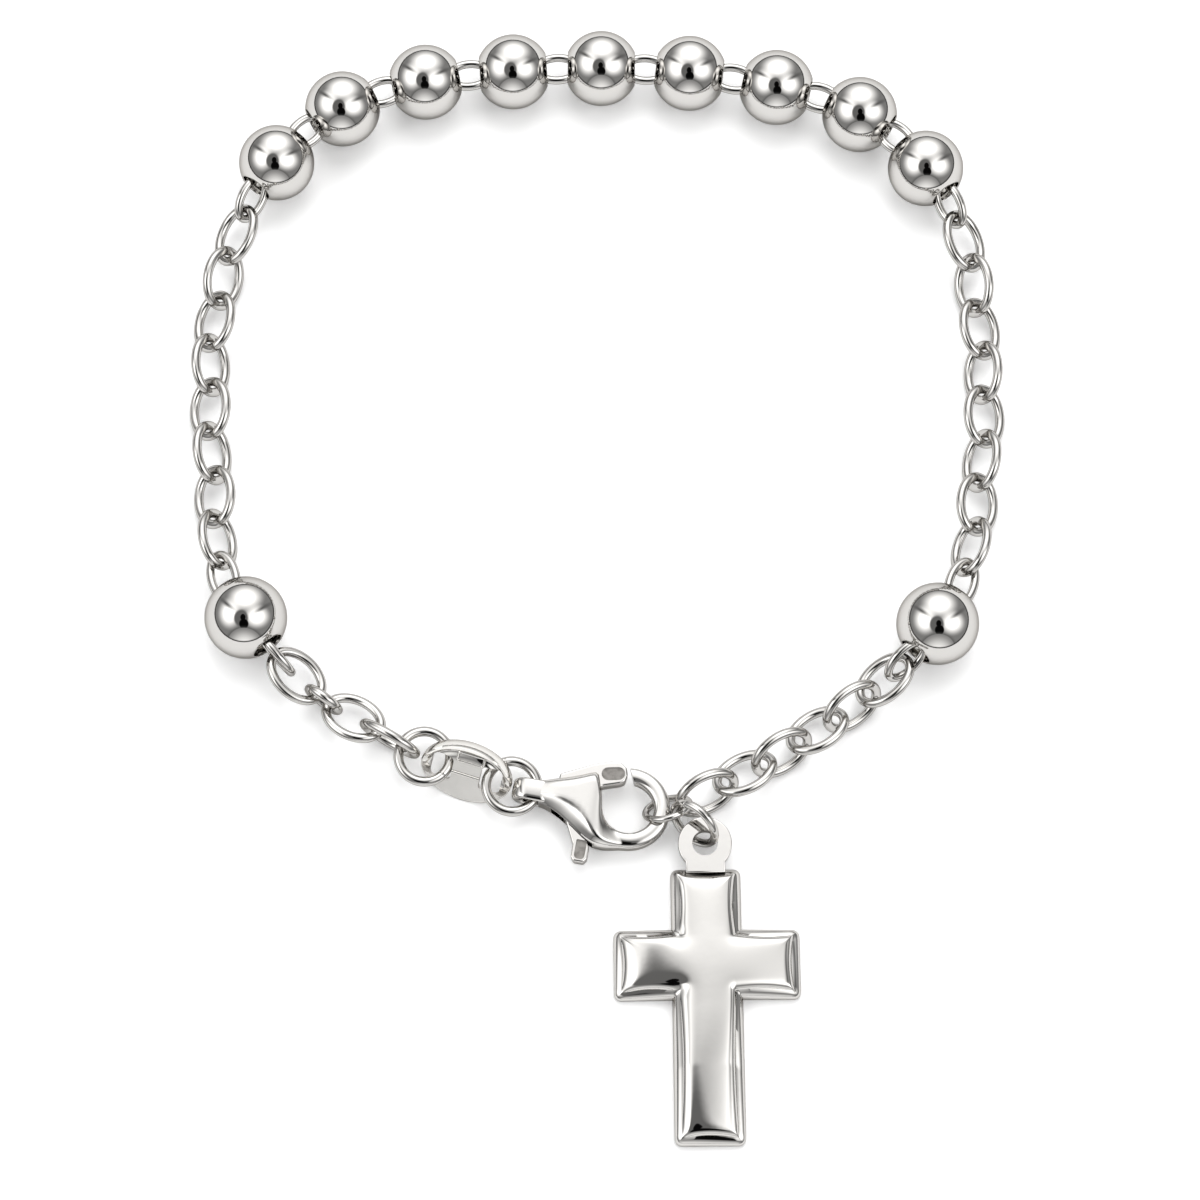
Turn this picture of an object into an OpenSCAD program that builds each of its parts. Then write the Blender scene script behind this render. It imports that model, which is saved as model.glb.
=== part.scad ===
/* [Beads] */
// Diameter of a small bead
bead_d = 5.46; // [5.3:0.02:5.7]
// Diameter of the larger beads
large_bead_d = 5.76; // [5.6:0.02:6]
// Wall of the hollow beads
bead_wall = 0.36; // [0.3:0.02:0.45]
// Diameter of the holes in the beads
bead_bore_d = 2.6; // [2.55:0.05:2.75]
// Thickness of the eye pins' wire
pin_wire = 0.45; // [0.4:0.01:0.46]
// Inner diameter of a pin's eye
eye_bore_d = 0.86; // [0.84:0.02:0.9]
// Depth of a pin's eyes below the bead's surface
eye_depth = 0.8; // [0.7:0.02:0.84]

/* [Bead rings] */
// Outer length of a bead ring
ring_l = 3.9; // [3.8:0.02:4.1]
// Outer length of the longer rings, between a side chain and a large bead
long_ring_l = 4.3; // [4.2:0.02:4.5]
// Outer width of a bead ring
ring_w = 2.5; // [2.44:0.02:2.56]
// Outer width of a longer ring
long_ring_w = 2.6; // [2.5:0.02:2.64]
// Thickness of a bead ring's wire
ring_wire = 0.6; // [0.54:0.01:0.62]

/* [Chain] */
// Outer length of a chain link
link_l = 4.8; // [4.6:0.05:5.2]
// Outer width of a chain link
link_w = 3.65; // [3.5:0.05:3.8]
// Thickness of a chain link's wire
link_wire = 0.67; // [0.6:0.01:0.7]
// Outer diameter of the small round link
small_link_d = 3.15; // [3.1:0.05:3.3]

/* [Clasp] */
// Length of the clasp from the bail's end to the hook's opening
clasp_reach = 6.34; // [6.2:0.02:6.6]
// Diameter of the hook's opening
hook_bore_d = 3.52; // [3.4:0.02:3.7]
// Width of the hook's wire, across the opening
hook_w = 1.1; // [1.04:0.02:1.12]
// Thickness of the hook's wire
hook_t = 1.14; // [1.12:0.01:1.18]
// Thickness of the clasp's body
clasp_t = 2.5; // [2.4:0.05:2.7]
// Thickness of the lever between the cheeks
lever_t = 0.9; // [0.8:0.02:0.92]
// Free play of the lever between the cheeks, on each side
lever_play = 0.1; // [0.08:0.01:0.12]
// Diameter of the pivot pin
pivot_d = 0.9; // [0.8:0.05:1]
// Radial running clearance of the lever on its pin
pivot_play = 0.05; // [0.03:0.01:0.08]
// Height of the hole in the bail
bail_hole_h = 1.04; // [0.98:0.02:1.1]
// Metal round the bail's hole, above and below
bail_wall = 0.48; // [0.42:0.02:0.54]
// Thickness of the bar at the bail's end
bail_bar = 0.72; // [0.66:0.02:0.76]
// Width of the bail
bail_w = 1.7; // [1.5:0.05:1.8]
// Height of the middle of the clasp over the surface
clasp_z = 1.4; // [1.36:0.02:1.6]

/* [Rings at the clasp] */
// Outer diameter of a jump ring
jump_ring_d = 4.26; // [4.2:0.02:4.4]
// Thickness of a jump ring's wire
jump_ring_wire = 0.7; // [0.64:0.01:0.72]
// Outer diameter of the ring held in the hook
hook_ring_d = 3.6; // [3.56:0.02:3.7]
// Thickness of the hook ring's wire
hook_ring_wire = 0.48; // [0.44:0.01:0.48]

/* [Tag] */
// Length of the oval tag
tag_l = 6.5; // [6.3:0.05:6.8]
// Width of the oval tag
tag_w = 4.5; // [4.4:0.05:4.7]
// Thickness of the tag
tag_t = 0.5; // [0.4:0.02:0.52]
// Width of metal between a slot and the tag's end
tag_rim = 1.25; // [1.15:0.01:1.25]
// Width of the raised rim along the tag's back edge
tag_lip = 0.45; // [0.4:0.05:0.6]
// Depth of the plain recess in the tag's face
tag_recess = 0.12; // [0.08:0.02:0.16]

/* [Cross] */
// Height of the cross without its eyelet
cross_l = 18.9; // [18:0.1:20]
// Width of the cross over its arms
cross_w = 12.7; // [12:0.1:13.5]
// Width of each arm
arm_w = 4.8; // [4.4:0.05:5.2]
// Distance from the top of the cross to the middle of its arms
arms_drop = 6.6; // [6.2:0.05:7]
// Thickness of the cross at its edge
cross_edge_t = 1.3; // [1.1:0.05:1.5]
// Rise of the pillowed front over the edge
cross_crown = 0.8; // [0.5:0.05:1]
// Outer diameter of the eyelet plate
eyelet_d = 3.7; // [3.6:0.05:3.9]
// Diameter of the eyelet's hole
eyelet_bore_d = 1.75; // [1.7:0.05:1.9]
// Thickness of the eyelet plate
eyelet_t = 0.6; // [0.5:0.05:0.65]
// Outer diameter of the cross's ring
cross_ring_d = 4.0; // [4:0.05:4.1]
// Thickness of the cross ring's wire
cross_ring_wire = 0.58; // [0.54:0.01:0.58]

/* [Hidden] */
silver = [0.86, 0.86, 0.85];
small_beads = 9;
side_links = 8;
tail_links = 6;
between_rings = small_beads - 1;
// Gaps between two pieces that hook each other
pin_gap = 0.05;
taut_gap = 0.1;
loose_gap = 0.5;
jump_gap = 0.45;
near_tag_gap = 0.15;
tag_gap = 0.3;
small_gap = 0.12;
tail_gap = 0.5;
first_tail_gap = 1;
hook_gap = 0.28;
long_ring_gap = 0.15;
bail_gap = 0.6;
// Gap at a face that another piece passes or bears on
seat_gap = 0.08;

// The loop's route, seen from above, through these chosen points, clockwise from the middle bead
route = [
  [0.1, 27.9], [6.6, 27.5], [13.1, 26.3], [19.1, 24.2], [23.6, 19.9], [26.2, 14.5], [27.1, 7.8],
  [27.2, 1], [26.4, -5.8], [25.3, -11.2], [23.3, -14.8], [19.5, -18.5], [14.6, -22.1], [9.2, -25.3],
  [4.1, -27.6], [-0.6, -27.4], [-5.4, -26.0], [-11.6, -24.0], [-16.3, -21.4], [-20.2, -18.8],
  [-24.0, -14.8], [-26.2, -11.3], [-27, -5.2], [-27.6, 1.5], [-27.6, 8.2], [-26.2, 14.9],
  [-23.6, 20.1], [-19.2, 24.5], [-12.8, 26.8], [-6.3, 27.6]
];
route_steps = 12;

// Kinds of piece in the loop
BEAD = 0;
LARGE = 1;
RING = 2;
LINK = 3;
SMALL = 4;
HOOK = 5;
CLASP = 6;
JUMP = 7;
TAG = 8;
LONG_RING = 9;

// Rolls of the pieces about the route: the left side is high where the roll is positive
inner_roll = -35;
outer_roll = 51;
tail_roll = [30, -56];
flat_roll = 20;
upright_roll = 88;
hook_ring_roll = 52;
tag_roll = -40;
exit_roll = 50;
low_exit_roll = -16;

// Columns of the list of pieces: kind, roll, gap to the next piece
KIND = 0;
ROLL = 1;
GAP = 2;
quarter = (small_beads - 1) / 2;
bead_and_ring = [[BEAD, 0, pin_gap], [RING, 0, pin_gap]];
half_arc = [for (i = [1:quarter]) for (p = bead_and_ring) p];
side_down = [
  for (i = [0:side_links - 1])
    [LINK, i % 2 == 0 ? inner_roll : outer_roll, i == side_links - 1 ? long_ring_gap : taut_gap]
];
side_up = [for (i = [0:side_links - 1]) [LINK, i % 2 == 0 ? outer_roll : inner_roll, taut_gap]];
tail = [
  for (i = [0:tail_links - 1]) [LINK, tail_roll[i % 2], i == tail_links - 1 ? taut_gap : tail_gap]
];
pieces = concat(
  half_arc,
  [[BEAD, 0, pin_gap], [RING, exit_roll, taut_gap]],
  side_down,
  [[LONG_RING, low_exit_roll, pin_gap], [LARGE, 0, pin_gap], [RING, -exit_roll, first_tail_gap]],
  tail,
  [[HOOK, hook_ring_roll, hook_gap], [CLASP, 0, bail_gap], [JUMP, 0, near_tag_gap], [TAG, tag_roll, tag_gap],
   [JUMP, 0, jump_gap], [LINK, upright_roll, loose_gap], [LINK, flat_roll, small_gap],
   [SMALL, upright_roll, small_gap], [LINK, flat_roll, 2 * loose_gap], [RING, upright_roll, pin_gap],
   [LARGE, 0, pin_gap],
   [LONG_RING, low_exit_roll, long_ring_gap]],
  side_up,
  [[RING, exit_roll, pin_gap]],
  half_arc
);
count = len(pieces);

// Places of the named pieces in the list
right_top = 2 * quarter + 1;
right_low = right_top + side_links + 1;
right_large = right_low + 1;
tail_top = right_large + 1;
hook_place = tail_top + tail_links + 1;
clasp_place = hook_place + 1;
tag_place = clasp_place + 2;
left_large = tag_place + 7;
left_low = left_large + 1;
left_top = left_low + side_links + 1;

function kind(i) = pieces[(i + count) % count][KIND];
function roll(i) = pieces[(i + count) % count][ROLL];
function gap_after(i) = pieces[(i + count) % count][GAP];

// Length, width and wire of the ring-like pieces
function length_of(k) = k == RING ? ring_l : k == LONG_RING ? long_ring_l : k == LINK ? link_l
  : k == SMALL ? small_link_d : k == HOOK ? hook_ring_d : jump_ring_d;
function width_of(k) = k == RING ? ring_w : k == LONG_RING ? long_ring_w : k == LINK ? link_w
  : length_of(k);
function wire_of(k) = k == RING || k == LONG_RING ? ring_wire : k == HOOK ? hook_ring_wire
  : k == JUMP ? jump_ring_wire : link_wire;

// Free inner length of a piece, between the two surfaces that its neighbours bear on
pin_reach = bead_d - 2 * eye_depth;
large_pin_reach = large_bead_d - 2 * eye_depth;
hook_r = hook_bore_d / 2;
clasp_inner = clasp_reach - bail_bar + hook_bore_d;
function inner_length(k) = k == BEAD ? pin_reach : k == LARGE ? large_pin_reach
  : k == CLASP ? clasp_inner : k == TAG ? tag_l - 2 * tag_rim : length_of(k) - 2 * wire_of(k);

// Lowest height at which the middle of a piece lies on the surface
function rest_height(i) = let (k = kind(i))
  k == BEAD ? bead_d / 2 : k == LARGE ? large_bead_d / 2 : k == CLASP ? clasp_z
  : k == TAG ? tag_w / 2 * abs(sin(tag_roll)) + tag_t / 2 * cos(tag_roll)
  : (width_of(k) - wire_of(k)) / 2 * abs(sin(roll(i))) + wire_of(k) / 2;

// A bead, the clasp or the tag sets the height of its joints, and two links share the higher one;
// the joints nearest to a bead step down from it
small_drop = 0.45;
large_drop = 0.6;
drops = 4;
function is_bead(i) = kind(i) == BEAD || kind(i) == LARGE;
function leads(i) = is_bead(i) || kind(i) == CLASP || kind(i) == TAG;
function lifted(i, k) = is_bead(i) ? rest_height(i) - k * (kind(i) == LARGE ? large_drop : small_drop) : 0;
function joint_height(i) = leads(i) ? rest_height(i) : leads(i + 1) ? rest_height(i + 1)
  : max([
      rest_height(i), rest_height(i + 1),
      for (k = [1:drops]) max(lifted(i - k, k), lifted(i + 1 + k, k))
    ]);

function span(i) = inner_length(kind(i)) - (gap_after(i - 1) + gap_after(i)) / 2;
function rise(i) = joint_height(i) - joint_height(i - 1);
function plan_span(i) = sqrt(span(i) * span(i) - rise(i) * rise(i));

// The route as a smooth closed curve with its length so far
function between(a, b, c, d, t) = 0.5 * (2 * b + (c - a) * t + (2 * a - 5 * b + 4 * c - d) * t * t
  + (3 * b - a - 3 * c + d) * t * t * t);
corners = len(route);
curve = [
  for (i = [0:corners]) for (j = [0:i < corners ? route_steps - 1 : 0])
    between(route[(i + corners - 1) % corners], route[i % corners], route[(i + 1) % corners],
      route[(i + 2) % corners], j / route_steps)
];
steps = [for (i = [1:len(curve) - 1]) norm(curve[i] - curve[i - 1])];
function running(list) = [
  for (i = 0, total = 0; i <= len(list); total = total + (i < len(list) ? list[i] : 0), i = i + 1) total
];
curve_s = running(steps);
curve_x = [for (i = [0:len(curve) - 1]) [curve_s[i], curve[i][0]]];
curve_y = [for (i = [0:len(curve) - 1]) [curve_s[i], curve[i][1]]];
route_length = curve_s[len(curve) - 1];

// Each joint's place along the route, which is scaled to the length of all the pieces
plan_spans = [for (i = [0:count - 1]) plan_span(i)];
marks = running(plan_spans);
loop_length = marks[count];
growth = loop_length / route_length;
function wrap(s) = s < 0 ? s + loop_length : s > loop_length ? s - loop_length : s;
function joint_before(i) = let (s = wrap(marks[i] - plan_spans[0] / 2) / growth)
  [growth * lookup(s, curve_x), growth * lookup(s, curve_y), joint_height(i - 1)];
joints = [for (i = [0:count]) joint_before(i)];

// Sets its children at piece i of the loop, with x along the route and y to its left
module along(i) {
  a = joints[i];
  b = joints[i + 1];
  d = b - a;
  translate((a + b) / 2)
    rotate([roll(i), -asin(d[2] / norm(d)), atan2(d[1], d[0])])
      translate([(gap_after(i) - gap_after(i - 1)) / 4, 0, 0])
        children();
}

// Closed wire bent round an ellipse
wire_sides = 6;
wire_stations = 16;
module oval_wire(l, w, wire) {
  a = (l - wire) / 2;
  b = (w - wire) / 2;
  r = wire / 2;
  points = [
    for (i = [0:wire_stations - 1])
      let (t = i * 360 / wire_stations, n = [b * cos(t), a * sin(t)] / norm([b * cos(t), a * sin(t)]))
        for (j = [0:wire_sides - 1])
          let (p = j * 360 / wire_sides)
            [a * cos(t) + r * cos(p) * n[0], b * sin(t) + r * cos(p) * n[1], r * sin(p)]
  ];
  faces = [
    for (i = [0:wire_stations - 1]) for (j = [0:wire_sides - 1])
      let (k = (i + 1) % wire_stations, m = (j + 1) % wire_sides)
        [i * wire_sides + j, i * wire_sides + m, k * wire_sides + m, k * wire_sides + j]
  ];
  polyhedron(points, faces);
}

// Closed round ring of round wire
module round_wire(d, wire)
  rotate_extrude($fn = 48)
    translate([(d - wire) / 2, 0])
      circle(d = wire, $fn = 24);

// The ring or link at place i of the loop
module link_at(i)
  along(i)
    if (kind(i) == LINK || kind(i) == RING || kind(i) == LONG_RING)
      oval_wire(length_of(kind(i)), width_of(kind(i)), wire_of(kind(i)));
    else
      round_wire(length_of(kind(i)), wire_of(kind(i)));

module links(first, last)
  color(silver)
    for (i = [first:last]) link_at(i);

// Thin hollow ball, drilled through along the route
module hollow_bead(i, d)
  color(silver)
    along(i)
      rotate([0, 90, 0])
        rotate_extrude($fn = 64)
          difference() {
            circle(d = d, $fn = 64);
            circle(d = d - 2 * bead_wall, $fn = 64);
            translate([-d, -d])
              square([d + bead_bore_d / 2, 2 * d]);
          }

// Wire through a bead with an eye at each end, each turned square to the ring that it holds
stem_d = pin_wire - 0.05;
module eye_pin(i, reach) {
  eye_x = (reach - eye_bore_d) / 2;
  stem_l = reach - 2 * eye_bore_d - pin_wire;
  color(silver)
    along(i) {
      rotate([0, 90, 0])
        cylinder(d = stem_d, h = stem_l, center = true, $fn = 24);
      for (side = [-1, 1])
        translate([side * eye_x, 0, 0])
          rotate([roll(i + side) + 90, 0, 0])
            round_wire(eye_bore_d + 2 * pin_wire, pin_wire);
    }
}

// Places in the clasp: u runs from the middle of the hook's opening away from the bail, v to the back
module in_clasp()
  along(clasp_place)
    translate([hook_r - clasp_inner / 2, 0, 0])
      rotate([0, 0, 180])
        children();

pivot_u = hook_r + 0.4 * clasp_reach;
neck_u = hook_r + 0.655 * clasp_reach;
bail_u = hook_r + clasp_reach;
slot_u = hook_r + 0.575 * clasp_reach;
slot_t = lever_t + 2 * lever_play;
hook_out_r = hook_r + hook_w;
gate_reach = 1.093 * pivot_u;
hook_from = -150;
hook_to = 98;
root_to = -110;
root_overlap = 2;
cheek_corner = [-hook_r - 0.156 * clasp_reach, hook_r];
cheek_belly = [-hook_r - 0.022 * clasp_reach, -hook_r - 0.156 * clasp_reach];
neck_r = 0.68;
corner_r = 0.4;
belly_r = 0.5;
hook_chamfer = 0.32;

// Outlines of the lever as shares of the pivot's distance and of the opening's radius
function shares(list) = [for (p = list) [p[0] * pivot_u, p[1] * hook_r]];
gate_outline = shares([
  [-1.047, 0.284], [-0.605, 1.222], [-0.512, 1.392], [-0.174, 1.5625], [-0.05, 1.42], [-0.05, 1.023],
  [-0.163, 0.909], [-0.465, 0.767], [-0.907, -0.17]
]);
thumb_outline = shares([
  [-1.151, -0.114], [-0.849, 0.057], [-0.4535, -1.875], [-0.4535, -2.386], [-0.488, -2.472],
  [-0.686, -2.472], [-0.721, -2.386], [-0.721, -1.818]
]);
gate_pad_u = -0.385 * pivot_u;
hub_r = 0.75;
cut = 20;

module hook_arc(from, to, t, chamfer)
  rotate([0, 0, from])
    rotate_extrude(angle = to - from, $fn = 64)
      polygon([
        [hook_r, -t / 2 + chamfer], [hook_r + chamfer, -t / 2], [hook_out_r - chamfer, -t / 2],
        [hook_out_r, -t / 2 + chamfer], [hook_out_r, t / 2 - chamfer], [hook_out_r - chamfer, t / 2],
        [hook_r + chamfer, t / 2], [hook_r, t / 2 - chamfer]
      ]);

module cheeks()
  linear_extrude(clasp_t, center = true)
    hull() {
      translate([-neck_u, 0]) circle(neck_r, $fn = 32);
      translate(cheek_corner) circle(corner_r, $fn = 32);
      translate(cheek_belly) circle(belly_r, $fn = 32);
    }

module bail_block() {
  h = bail_hole_h + 2 * bail_wall;
  rotate([90, 0, 0]) {
    translate([-bail_u + h / 2, 0, 0])
      cylinder(d = h, h = bail_w, center = true, $fn = 48);
    translate([(-bail_u + h / 2 - neck_u) / 2, 0, 0])
      cube([bail_u - h / 2 - neck_u, h, bail_w], center = true);
  }
}

// Stadium hole across the bail, long enough for the jump ring's wire and its gap
bail_play = 0.02;
module bail_hole() {
  first = -bail_u + bail_bar + bail_hole_h / 2;
  last = -bail_u + bail_bar + bail_gap + jump_ring_wire / 2 + bail_play;
  rotate([90, 0, 0]) {
    for (u = [first, last])
      translate([u, 0, 0])
        cylinder(d = bail_hole_h, h = cut, center = true, $fn = 48);
    translate([(first + last) / 2, 0, 0])
      cube([last - first, bail_hole_h, cut], center = true);
  }
}

// Two cheeks with the hook and the bail, and the pin that the lever turns on
module clasp_body()
  color(silver)
    in_clasp() {
      difference() {
        union() {
          cheeks();
          bail_block();
        }
        translate([cut / 2 - slot_u, 0, 0])
          cube([cut, cut, slot_t], center = true);
        cylinder(r = hook_r, h = cut, center = true, $fn = 64);
        bail_hole();
      }
      difference() {
        hook_arc(root_to - root_overlap, hook_to, hook_t, hook_chamfer);
        intersection() {
          translate([-pivot_u, 0, 0])
            cylinder(r = gate_reach + seat_gap, h = cut, center = true, $fn = 96);
          translate([-cut / 2, hook_r / 2, -cut / 2])
            cube(cut);
        }
      }
      hook_arc(hook_from, root_to, clasp_t, hook_chamfer);
      translate([-pivot_u, 0, 0])
        cylinder(d = pivot_d, h = clasp_t, center = true, $fn = 48);
    }

// Gate and thumb tab in one piece, on the pivot pin between the cheeks
module lever_outline() {
  intersection() {
    polygon(gate_outline);
    translate([-pivot_u, 0])
      circle(gate_reach, $fn = 96);
  }
  polygon(thumb_outline);
  translate([-pivot_u, 0])
    circle(hub_r, $fn = 48);
}

module clasp_lever()
  color(silver)
    in_clasp()
      difference() {
        union() {
          linear_extrude(lever_t, center = true)
            lever_outline();
          linear_extrude(hook_t, center = true)
            intersection() {
              polygon(gate_outline);
              translate([-pivot_u, 0])
                circle(gate_reach, $fn = 96);
              translate([gate_pad_u, 0])
                square(cut);
            }
        }
        translate([-pivot_u, 0, 0])
          cylinder(d = pivot_d + 2 * pivot_play, h = cut, center = true, $fn = 48);
      }

// Oval plate with a slot at each end for the jump rings, a rim along the back and a plain recess
slot_w = 1.25;
slot_l = 2.5;
recess_margin = 0.3;
lip_reach = 0.35;
module oval(l, w, h)
  linear_extrude(h, center = true)
    polygon([for (a = [0:7.5:352.5]) [l / 2 * cos(a), w / 2 * sin(a)]]);

module tag_plate()
  color(silver)
    along(tag_place) {
      difference() {
        oval(tag_l, tag_w, tag_t);
        for (side = [-1, 1])
          translate([side * (tag_l / 2 - tag_rim - slot_w / 2), 0, 0])
            cube([slot_w, slot_l, cut], center = true);
        translate([0, 0, tag_t / 2])
          cube([tag_l - 2 * (tag_rim + slot_w + recess_margin), tag_w / 3, 2 * tag_recess], center = true);
      }
      translate([0, 0, tag_t / 2])
        difference() {
          oval(tag_l - 2 * seat_gap, tag_w - 2 * seat_gap, tag_t / 2);
          oval(tag_l - 2 * tag_lip, tag_w - 2 * tag_lip, cut);
          translate([-cut / 2, -lip_reach * tag_w, -cut / 2])
            cube(cut);
        }
    }

// The cross lies in front of the hook ring, on a ring of its own
hook_middle = (joints[hook_place] + joints[hook_place + 1]) / 2;
cross_ring_offset = [1.77, -1.27];
cross_ring_heading = -40.3;
cross_ring_roll = 69.7;
cross_ring_lift = 0.37;
eyelet_offset = [1.36, -0.46];
cross_turn = 0.6;
cross_ring_z = (cross_ring_d - cross_ring_wire) / 2 * sin(cross_ring_roll) + cross_ring_wire / 2
  + cross_ring_lift;
cross_ring_middle = [
  hook_middle[0] + cross_ring_offset[0], hook_middle[1] + cross_ring_offset[1], cross_ring_z
];
eyelet_middle = [
  cross_ring_middle[0] + eyelet_offset[0] * cos(cross_ring_heading)
    - eyelet_offset[1] * sin(cross_ring_heading),
  cross_ring_middle[1] + eyelet_offset[0] * sin(cross_ring_heading)
    + eyelet_offset[1] * cos(cross_ring_heading),
  0
];
eyelet_z = 1.15;
eyelet_overlap = 0.2;

module cross_ring()
  color(silver)
    translate(cross_ring_middle)
      rotate([0, 0, cross_ring_heading])
        rotate([cross_ring_roll, 0, 0])
          round_wire(cross_ring_d, cross_ring_wire);

// Outline of the cross, clockwise from the top right corner, drawn in by d
function cross_outline(d, z) = let (h = arm_w / 2 - d, x = cross_w / 2 - d, y = -arms_drop)
  [for (p = [
    [h, -d], [h, y + h], [x, y + h], [x, y - h], [h, y - h], [h, d - cross_l],
    [-h, d - cross_l], [-h, y - h], [-x, y - h], [-x, y + h], [-h, y + h], [-h, -d]
  ]) [p[0], p[1], z]];
crown_loops = 5;
crown_share = 0.94;
cross_loops = concat(
  [cross_outline(0, 0)],
  [for (k = [0:crown_loops])
    let (a = k * 90 / crown_loops)
      cross_outline(crown_share * arm_w / 2 * (1 - cos(a)), cross_edge_t + cross_crown * sin(a))]
);
cross_corners = len(cross_loops[0]);
cross_last = len(cross_loops) - 1;

// Five rectangles that make up the cross, by the corners of its outline
cross_panels = [[0, 1, 10, 11], [1, 2, 3, 4], [1, 4, 7, 10], [4, 5, 6, 7], [7, 8, 9, 10]];

module cross_body()
  polyhedron(
    [for (loop = cross_loops) for (p = loop) p],
    concat(
      [for (panel = cross_panels) [for (j = [3:-1:0]) panel[j]]],
      [for (panel = cross_panels) [for (j = panel) cross_last * cross_corners + j]],
      [for (k = [0:cross_last - 1]) for (j = [0:cross_corners - 1])
        let (m = (j + 1) % cross_corners)
          [k * cross_corners + j, k * cross_corners + m, (k + 1) * cross_corners + m,
           (k + 1) * cross_corners + j]]
    )
  );

module cross()
  color(silver)
    translate(eyelet_middle)
      rotate([0, 0, cross_turn]) {
        translate([0, eyelet_overlap - eyelet_d / 2, 0])
          cross_body();
        translate([0, 0, eyelet_z])
          difference() {
            cylinder(d = eyelet_d, h = eyelet_t, $fn = 64);
            translate([0, 0, -eyelet_t])
              cylinder(d = eyelet_bore_d, h = 3 * eyelet_t, $fn = 48);
          }
      }

// Places of the small beads and of the rings between them, from left to right
function bead_place(n) = (count + 2 * (n - 1 - quarter)) % count;
function ring_place(n) = (bead_place(n) + 1) % count;

for (n = [1:small_beads]) {
  hollow_bead(bead_place(n), bead_d);
  eye_pin(bead_place(n), pin_reach);
}
for (n = [1:between_rings])
  links(ring_place(n), ring_place(n));
hollow_bead(left_large, large_bead_d);  // bead_left
eye_pin(left_large, large_pin_reach);  // bead_pin_left
hollow_bead(right_large, large_bead_d);  // bead_right
eye_pin(right_large, large_pin_reach);  // bead_pin_right
links(left_top, left_top);  // ring_left_top
links(left_low, left_low);  // ring_left_low
links(right_top, right_top);  // ring_right_top
links(right_low, right_low);  // ring_right_low
links(tail_top, tail_top);  // ring_tail
links(left_large - 1, left_large - 1);  // ring_tag_side
links(left_low + 1, left_top - 1);  // chain_left
links(right_top + 1, right_low - 1);  // chain_right
links(tail_top + 1, hook_place - 1);  // chain_tail
links(tag_place + 2, left_large - 2);  // chain_clasp
links(hook_place, hook_place);  // hook_ring
clasp_body();
clasp_lever();
links(tag_place - 1, tag_place - 1);  // jump_ring_1
links(tag_place + 1, tag_place + 1);  // jump_ring_2
tag_plate();  // tag
cross_ring();
cross();
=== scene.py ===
import math

import bpy
import numpy as np
from mathutils import Matrix, Vector


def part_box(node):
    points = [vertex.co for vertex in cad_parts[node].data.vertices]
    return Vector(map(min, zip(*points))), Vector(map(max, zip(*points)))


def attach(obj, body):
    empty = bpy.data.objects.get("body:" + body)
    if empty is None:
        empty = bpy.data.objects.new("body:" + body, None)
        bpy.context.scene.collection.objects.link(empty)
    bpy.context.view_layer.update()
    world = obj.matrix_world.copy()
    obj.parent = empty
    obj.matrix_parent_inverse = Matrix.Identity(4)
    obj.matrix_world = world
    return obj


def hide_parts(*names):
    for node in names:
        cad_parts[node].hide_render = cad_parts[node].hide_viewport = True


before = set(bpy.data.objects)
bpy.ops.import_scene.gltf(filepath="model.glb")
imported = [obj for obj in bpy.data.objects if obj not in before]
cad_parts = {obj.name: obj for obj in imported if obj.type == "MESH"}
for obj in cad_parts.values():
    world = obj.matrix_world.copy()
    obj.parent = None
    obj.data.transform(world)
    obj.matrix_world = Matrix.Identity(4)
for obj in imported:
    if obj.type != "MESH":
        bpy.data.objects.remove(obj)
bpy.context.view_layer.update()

# The studio: a sweep of white paper in a soft tent, with a bright panel behind and one at each side,
# a grey screen in front, and a dark gap above in which the camera stands.
scene = bpy.context.scene
mm = 0.001


def linear(code):
    """An sRGB hex colour as linear values with alpha"""
    parts = [int(code[i : i + 2], 16) / 255 for i in (1, 3, 5)]
    return [c / 12.92 if c <= 0.04045 else ((c + 0.055) / 1.055) ** 2.4 for c in parts] + [1]


def add_node(tree, kind, settings=None, links=None):
    """A node with its settings, and links from other nodes' outputs to its inputs"""
    node = tree.nodes.new(kind)
    sockets = {}
    for key, value in (settings or {}).items():
        if isinstance(key, int) or key in node.inputs:
            sockets[key] = value
        else:
            setattr(node, key, value)
    for key, value in sockets.items():
        node.inputs[key].default_value = value
    for key, source in (links or {}).items():
        tree.links.new(source, node.inputs[key])
    return node


camera_tilt = math.radians(18)
camera_distance = 246.5
aim = (0, -12, 0)
lens = bpy.data.cameras.new("camera")
lens.lens = 105
lens.sensor_width = 36
lens.clip_start = 0.01
camera = bpy.data.objects.new("camera", lens)
camera.location = Vector(aim) * mm + Vector(
    (0, -math.sin(camera_tilt), math.cos(camera_tilt))
) * (camera_distance * mm)
camera.rotation_euler = (camera_tilt, 0, 0)
scene.collection.objects.link(camera)
scene.camera = camera
scene.view_settings.view_transform = "Standard"

# The tent as a polished ball shows it from the camera: across and up are shares of the ball's radius.
# Each patch lies over those before it: middle, half sizes, turn, softness of its edge, brightness.
tent_patches = [
    ((-0.34, 0.10), (0.33, 0.42), 0, 1, 3.0),
    ((0.31, 0.03), (0.36, 0.34), 0, 1, 3.0),
    ((0.02, 0.48), (0.50, 0.375), 0, 1, 3.0),
    ((-0.44, 0.335), (0.40, 0.085), -0.62, 1, 0.17),
    ((0.46, 0.25), (0.40, 0.085), 0.57, 1, 0.17),
    ((-0.067, -0.01), (0.20, 0.235), 0, 0.3, 0.19),
    ((-0.02, 0.01), (0.07, 0.09), 0, 0.2, 0.004),
    ((0.0, -0.145), (0.125, 0.13), 0, 0.2, 0.004),
    ((-0.01, -0.60), (0.50, 0.43), 0, 0.3, 0.10),
    ((-0.01, -0.64), (0.43, 0.41), 0, 0.06, 0.34),
    ((-0.01, -0.73), (0.50, 0.52), 0, 0.8, 1.5),
]
tent_tone = 0.31
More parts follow.
